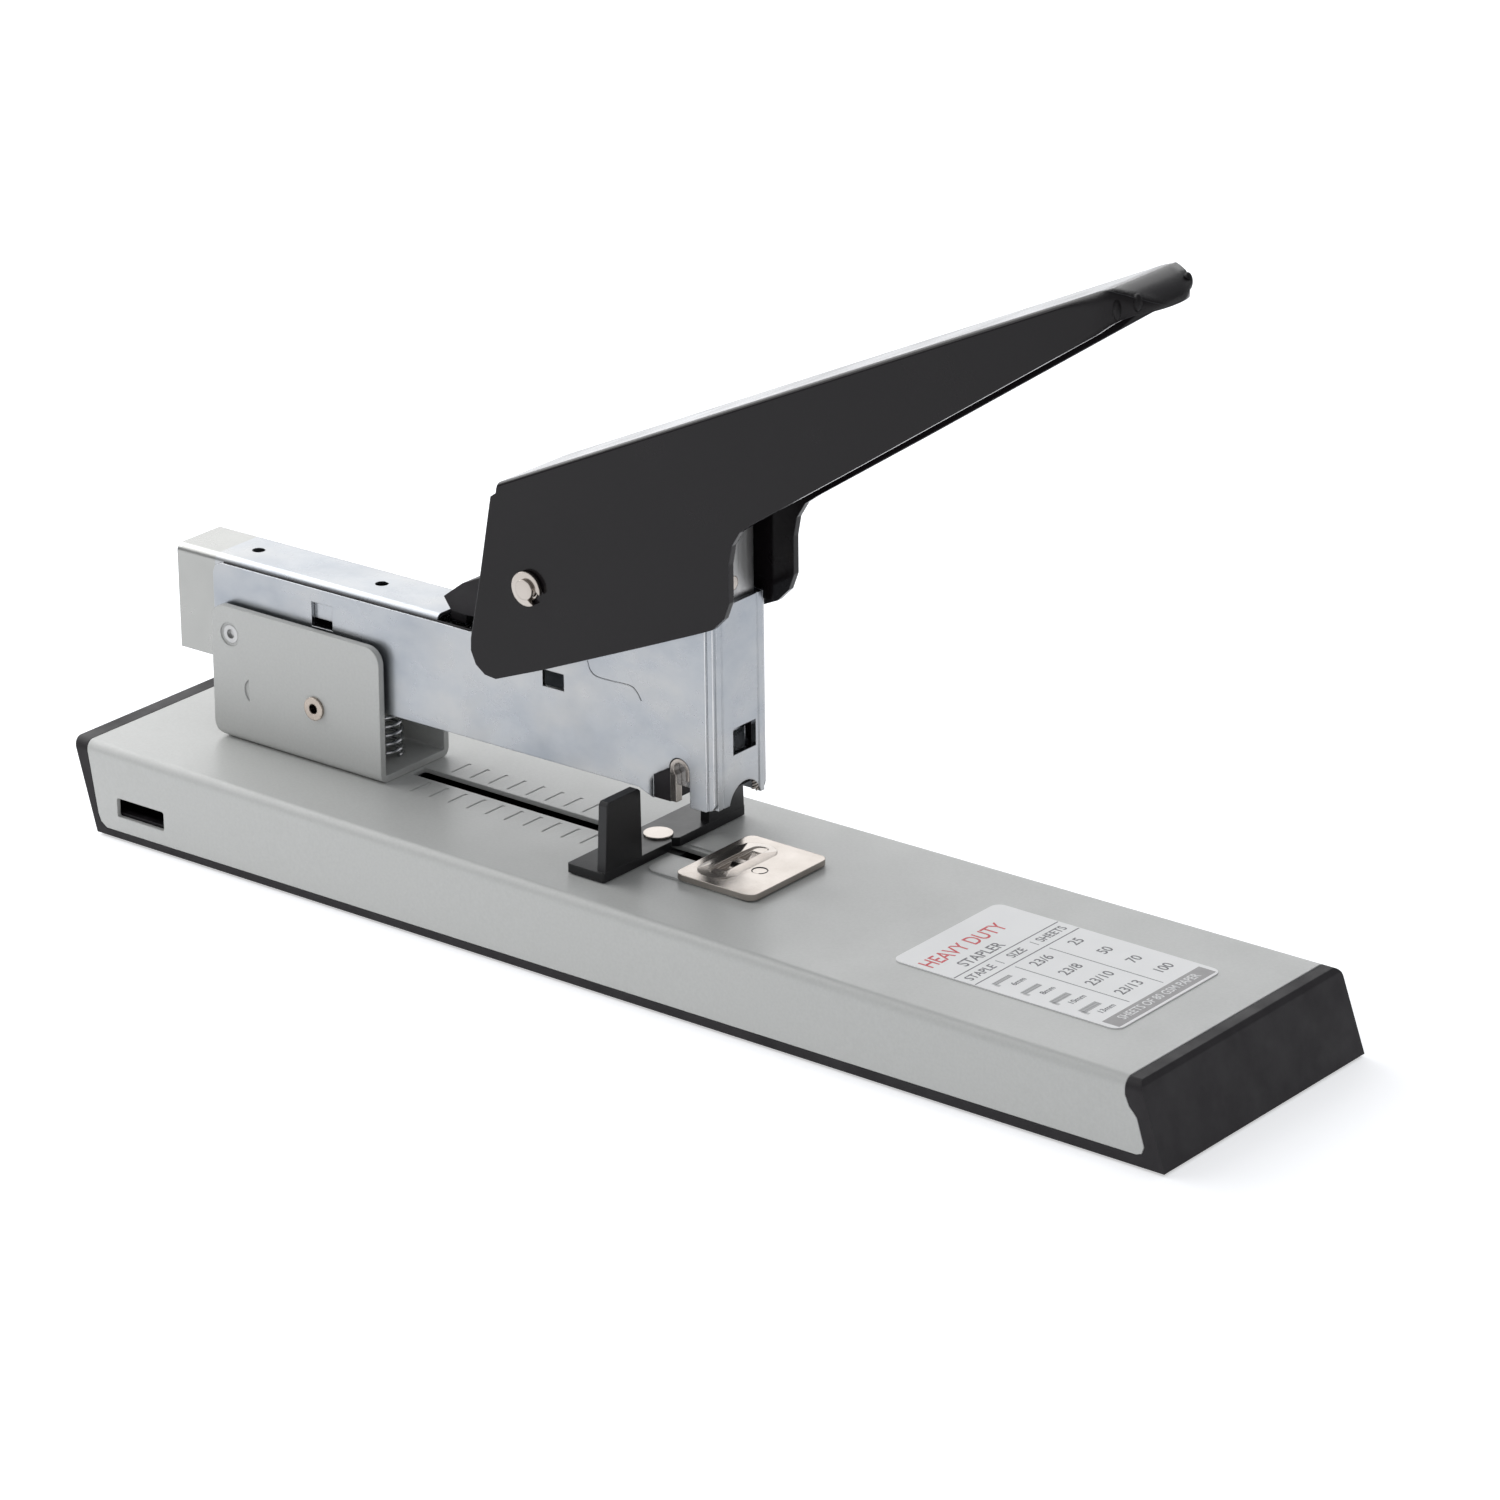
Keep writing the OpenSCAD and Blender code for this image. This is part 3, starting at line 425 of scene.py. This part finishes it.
def make_studio():
    make_sky()
    area("back_left", (-0.85, 0.95, 0.60), (-0.08, 0.0, 0.03), (1.3, 0.9), 4.9)
    area("left_top", (-0.85, -0.20, 0.75), (-0.08, 0.0, 0.02), (0.9, 0.9), 5.0)
    area("rear", (-0.62, 0.12, 0.42), (-0.14, 0.0, 0.0), (0.5, 0.4), 1.6)
    make_floor()


# ---------- pieces ----------

WIRE_ROUNDNESS = 4
COIL_STEPS = 36


def place(name, mesh, body, slot):
    """A new piece that rides on a body; a printed one has an ink, which is no slot of the record."""
    obj = bpy.data.objects.new(name, mesh)
    bpy.context.scene.collection.objects.link(obj)
    obj.data.materials.clear()
    obj.data.materials.append(MATERIALS[slot] if slot in MATERIALS else INKS[slot])
    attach(obj, body)
    return obj


def settled(data, name):
    """The mesh of a curve or text."""
    temp = bpy.data.objects.new(name, data)
    bpy.context.scene.collection.objects.link(temp)
    bpy.context.view_layer.update()
    shown = temp.evaluated_get(bpy.context.evaluated_depsgraph_get())
    mesh = bpy.data.meshes.new_from_object(shown)
    bpy.data.objects.remove(temp)
    return mesh


def wire(name, points, radius, body, slot):
    """A round wire through the points, with flat ends."""
    data = bpy.data.curves.new(name, "CURVE")
    data.dimensions = "3D"
    data.bevel_depth = radius
    data.bevel_resolution = WIRE_ROUNDNESS
    data.use_fill_caps = True
    spline = data.splines.new("POLY")
    spline.points.add(len(points) - 1)
    for target, point in zip(spline.points, points):
        target.co = (*point, 1.0)
    spline.use_smooth = True
    return place(name, settled(data, name), body, slot)


def coil_points(radius, wire_d, length, turns):
    """Points of a coil along +Z with its end turns laid flat."""
    points = []
    count = turns * COIL_STEPS
    for i in range(count + 1):
        t = i / count
        flat = 0.75 / turns
        rise = min(max((t - flat) / (1 - 2 * flat), 0.0), 1.0)
        lift = wire_d * 0.75 * (min(t / flat, 1.0) + max((t - 1 + flat) / flat, 0.0))
        z = wire_d / 2 + lift + (length - 2.5 * wire_d) * rise
        a = 2 * math.pi * turns * t
        points.append(Vector((radius * math.cos(a), radius * math.sin(a), z)))
    return points


def solid_from(bm, name, body, slot, smooth=True):
    mesh = bpy.data.meshes.new(name)
    bmesh.ops.recalc_face_normals(bm, faces=bm.faces)
    bm.to_mesh(mesh)
    bm.free()
    for face in mesh.polygons:
        face.use_smooth = smooth
    return place(name, mesh, body, slot)


# the cover's sloping top: its heights at two places, as in the CAD
HEIGHT_REAR = 0.0204
HEIGHT_FRONT = 0.0176
FOOT_X = -0.1346
FRONT_X = 0.140
SLOPE = math.atan2(HEIGHT_REAR - HEIGHT_FRONT, FRONT_X - FOOT_X)


def on_top(x, y, lift):
    """A frame on the cover's top, tilted with it."""
    z = HEIGHT_REAR - (x - FOOT_X) * math.tan(SLOPE)
    here = Matrix.Translation((x, y, z)) @ Matrix.Rotation(SLOPE, 4, "Y")
    return here @ Matrix.Translation((0, 0, lift))


# ---------- printed label ----------

INKS = {
    "ink_dark": ink("ink_dark", (0.16, 0.16, 0.17)),
    "ink_grey": ink("ink_grey", (0.36, 0.35, 0.35)),
    "ink_light": ink("ink_light", (0.55, 0.55, 0.55)),
    "ink_red": ink("ink_red", (0.62, 0.07, 0.08)),
    "ink_white": ink("ink_white", (0.78, 0.78, 0.78)),
}
LABEL_LOW, LABEL_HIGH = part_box("size_label")
LABEL_LONG = LABEL_HIGH.x - LABEL_LOW.x
LABEL_WIDE = LABEL_HIGH.y - LABEL_LOW.y
LABEL_UP = 0.00022
ON_FILM = 0.00001
ON_PRINT = 0.00003


def label_spot(u, v, lift):
    """A frame on the label: u runs from its rear edge to the front one, v from near to far."""
    x = LABEL_LOW.x + u * LABEL_LONG
    y = LABEL_LOW.y + v * LABEL_WIDE
    return on_top(x, y, LABEL_UP + lift) @ Matrix.Rotation(math.radians(90), 4, "Z")


def word(name, text, u, v, size, slot, width=1.0, lift=ON_FILM):
    """A printed word centred on the label at u, v, with letters narrowed by width."""
    data = bpy.data.curves.new(name, "FONT")
    data.body = text
    data.size = size
    data.align_x = "CENTER"
    data.align_y = "CENTER"
    data.extrude = 0.000004
    data.offset = 0.00004
    mesh = settled(data, name)
    mesh.transform(label_spot(u, v, lift) @ Matrix.Diagonal((width, 1, 1, 1)))
    return place(name, mesh, "base", slot)


def printed_bars(name, bars, slot, lift=ON_FILM):
    """Flat printed bars, each (u, v, length along u in m, width along v in m)."""
    bm = bmesh.new()
    for u, v, long, wide in bars:
        made = bmesh.ops.create_cube(bm, size=1.0)
        size = Matrix.Diagonal((wide, long, 0.000008, 1))
        bmesh.ops.transform(bm, matrix=label_spot(u, v, lift) @ size, verts=made["verts"])
    return solid_from(bm, name, "base", slot, smooth=False)


def print_label():
    rows = (0.436, 0.564, 0.692, 0.820)
    printed_bars("label_rules", [
        (0.278, 0.5, 0.00028, LABEL_WIDE * 0.985), (0.372, 0.5, 0.00028, LABEL_WIDE * 0.985),
        (0.642, 0.34, LABEL_LONG * 0.50, 0.00022), (0.642, 0.665, LABEL_LONG * 0.50, 0.00022),
        (0.325, 0.34, 0.0022, 0.0002), (0.325, 0.665, 0.0022, 0.0002),
    ], "ink_dark")
    word("label_heading", "HEAVY DUTY", 0.135, 0.40, 0.0052, "ink_red", 0.80)
    word("label_kind", "STAPLER", 0.232, 0.36, 0.0037, "ink_dark", 0.92)
    for text, v in (("STAPLE", 0.16), ("SIZE", 0.50), ("SHEETS", 0.83)):
        word("label_" + text.lower(), text, 0.325, v, 0.0029, "ink_dark", 0.9)
    table = (
        ("23/6", "25", "6mm"),
        ("23/8", "50", "8mm"),
        ("23/10", "70", "10mm"),
        ("23/13", "100", "13mm"),
    )
    for (size, sheets, leg), u in zip(table, rows):
        word("label_size_" + sheets, size, u, 0.50, 0.0034, "ink_dark", 0.95)
        word("label_sheets_" + sheets, sheets, u, 0.83, 0.0034, "ink_dark", 0.95)
        word("label_leg_" + sheets, leg, u + 0.042, 0.19, 0.0019, "ink_dark")
    icons = []
    hatches = []
    for k, u in enumerate(rows):
        deep = 0.0011 + 0.00022 * k
        icons.append((u - 0.012, 0.15, deep, 0.0056))
        icons.append((u + 0.004, 0.075, deep, 0.0008))
        for j in range(9):
            hatches.append((u - 0.012, 0.082 + 0.017 * j, deep, 0.00014))
    printed_bars("label_icons", icons, "ink_light")
    printed_bars("label_hatches", hatches, "ink_dark", ON_PRINT)
    printed_bars("label_strip", [(0.950, 0.5, LABEL_LONG * 0.075, LABEL_WIDE * 0.93)], "ink_grey")
    word("label_note", "SHEETS OF 80 GSM PAPER", 0.950, 0.5, 0.0028, "ink_white", 0.80, ON_PRINT)


# ---------- lift spring ----------

LIFT_RADIUS = 0.0033
LIFT_WIRE = 0.0009
LIFT_WIRE_RADIUS = 0.00043
LIFT_LENGTH = 0.0130
LIFT_TURNS = 7


def make_lift_spring():
    """A smooth coil in place of the CAD one."""
    low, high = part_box("lift_spring")
    centre = (low + high) / 2
    points = coil_points(LIFT_RADIUS, LIFT_WIRE, LIFT_LENGTH, LIFT_TURNS)
    base = Vector((centre.x, centre.y, low.z))
    lift = wire("lift_coil", [base + p for p in points], LIFT_WIRE_RADIUS, "base", "spring_steel")
    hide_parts("lift_spring")
    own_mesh(lift)


# ---------- small pressed and printed details ----------

def ellipsoid(name, centre, radii, body, slot):
    bm = bmesh.new()
    bmesh.ops.create_uvsphere(bm, u_segments=32, v_segments=16, radius=1.0)
    size = Matrix.Diagonal((*radii, 1))
    bmesh.ops.transform(bm, matrix=Matrix.Translation(centre) @ size, verts=bm.verts)
    return solid_from(bm, name, body, slot)


def soft_path(points, steps=8):
    """Catmull-Rom curve through a few points."""
    ends = [points[0] * 2 - points[1], *points, points[-1] * 2 - points[-2]]
    path = []
    for a, b, c, d in zip(ends, ends[1:], ends[2:], ends[3:]):
        for k in range(steps):
            t = k / steps
            path.append(0.5 * (
                2 * b + (c - a) * t + (2 * a - 5 * b + 4 * c - d) * t ** 2
                + (3 * b - a - 3 * c + d) * t ** 3))
    path.append(points[-1])
    return path


SIDES = ((-1, "near"), (1, "far"))
HEAD_SIDE = 0.0082

# edge of the raised field on the casing, in mm along x and z
CREASE = (
    (-17.7, 58.6),
    (-17.0, 56.8),
    (-15.4, 55.8),
    (-11.9, 55.7),
    (-7.0, 55.8),
    (-5.3, 55.0),
    (-4.0, 53.2),
)
CREASE_PROUD = 0.00002
CREASE_RADIUS = 0.00013

THREAD_START = Vector((0.01395, 0.0050, 0.0344))
THREAD_TURNS = 4
THREAD_STEPS = 24
THREAD_RISE = 0.000028
THREAD_THICK = 0.0003
THREAD_WIDE = 0.0007
THREAD_WIRE = 0.00025

FOLD_X = (0.0123, 0.0141)
FOLD_Y = (HEAD_SIDE, HEAD_SIDE - 0.0001)
FOLD_LOW_Z = 0.0352
FOLD_HIGH_Z = 0.0740
FOLD_RADIUS = 0.00016

# a black wire along the gap over the magazine: painted shade
GAP_SHADE_X = (-0.1160, -0.0432)
GAP_SHADE_Y = 0.0075
GAP_SHADE_Z = 0.0579
GAP_SHADE_RADIUS = 0.00024

ANVIL_MARK = (0.0198, -0.0012, 0.00166)
ANVIL_MARK_RADIUS = 0.0016
ANVIL_MARK_WIRE = 0.00010
ANVIL_MARK_START = -60
ANVIL_MARK_TURN = 300
ANVIL_MARK_STEPS = 40


def crease_casing():
    """Edge of the raised field on each side of the casing."""
    for side, side_name in SIDES:
        line = [Vector((x * MM, side * (HEAD_SIDE + CREASE_PROUD), z * MM)) for x, z in CREASE]
        wire("casing_crease_" + side_name, soft_path(line), CREASE_RADIUS, "head", "zinc_steel")


def thread_nose():
    """Threaded end of the screw behind the arch."""
    thread = []
    for k in range(THREAD_TURNS * THREAD_STEPS + 1):
        a = 2 * math.pi * k / THREAD_STEPS
        turn = Vector((THREAD_THICK * math.cos(a), THREAD_WIDE * math.sin(a), THREAD_RISE * k))
        thread.append(THREAD_START + turn)
    wire("nose_thread", thread, THREAD_WIRE, "head", "nickel")


def line_head():
    """Bright ridges on the nose's folded corners, and a dark line of painted shade in the gap over
    the magazine.
    """
    for side, side_name in SIDES:
        for k, (x, y) in enumerate(zip(FOLD_X, FOLD_Y)):
            line = [Vector((x, side * y, z)) for z in (FOLD_LOW_Z, FOLD_HIGH_Z)]
            wire("nose_fold_%d_%s" % (k, side_name), line, FOLD_RADIUS, "head", "spring_steel")
        # painted shade: a black wire in the gap over the magazine
        line = [Vector((x, side * GAP_SHADE_Y, GAP_SHADE_Z)) for x in GAP_SHADE_X]
        wire("casing_gap_shade_" + side_name, line, GAP_SHADE_RADIUS, "head", "black_plastic")


def mark_anvil():
    """Rim of the rivet's end, flush in the plate."""
    centre = on_top(*ANVIL_MARK)
    ring = []
    for k in range(ANVIL_MARK_STEPS + 1):
        a = math.radians(ANVIL_MARK_START + ANVIL_MARK_TURN * k / ANVIL_MARK_STEPS)
        across = Vector((ANVIL_MARK_RADIUS * math.cos(a), ANVIL_MARK_RADIUS * math.sin(a), 0.0))
        ring.append(centre @ across)
    wire("anvil_mark", ring, ANVIL_MARK_WIRE, "base", "black_steel")


def crease_grip():
    """Soft pressed folds where the grip turns its corners."""
    slot = "black_lacquer"
    for side, side_name in SIDES:
        rear = (0.1107, side * 0.01005, 0.1563)
        ellipsoid("grip_fold_a_" + side_name, rear, (0.0010, 0.0006, 0.0022), "handle", slot)
        front = (0.1139, side * 0.00795, 0.1577)
        ellipsoid("grip_fold_b_" + side_name, front, (0.0010, 0.0009, 0.0018), "handle", slot)


# ---------- the scene ----------

make_camera()
make_studio()
print_label()
make_lift_spring()
crease_casing()
thread_nose()
line_head()
mark_anvil()
crease_grip()

scene = bpy.context.scene
scene.view_settings.view_transform = "Standard"
scene.view_settings.look = "None"
scene.cycles.use_denoising = True
scene.cycles.max_bounces = 8
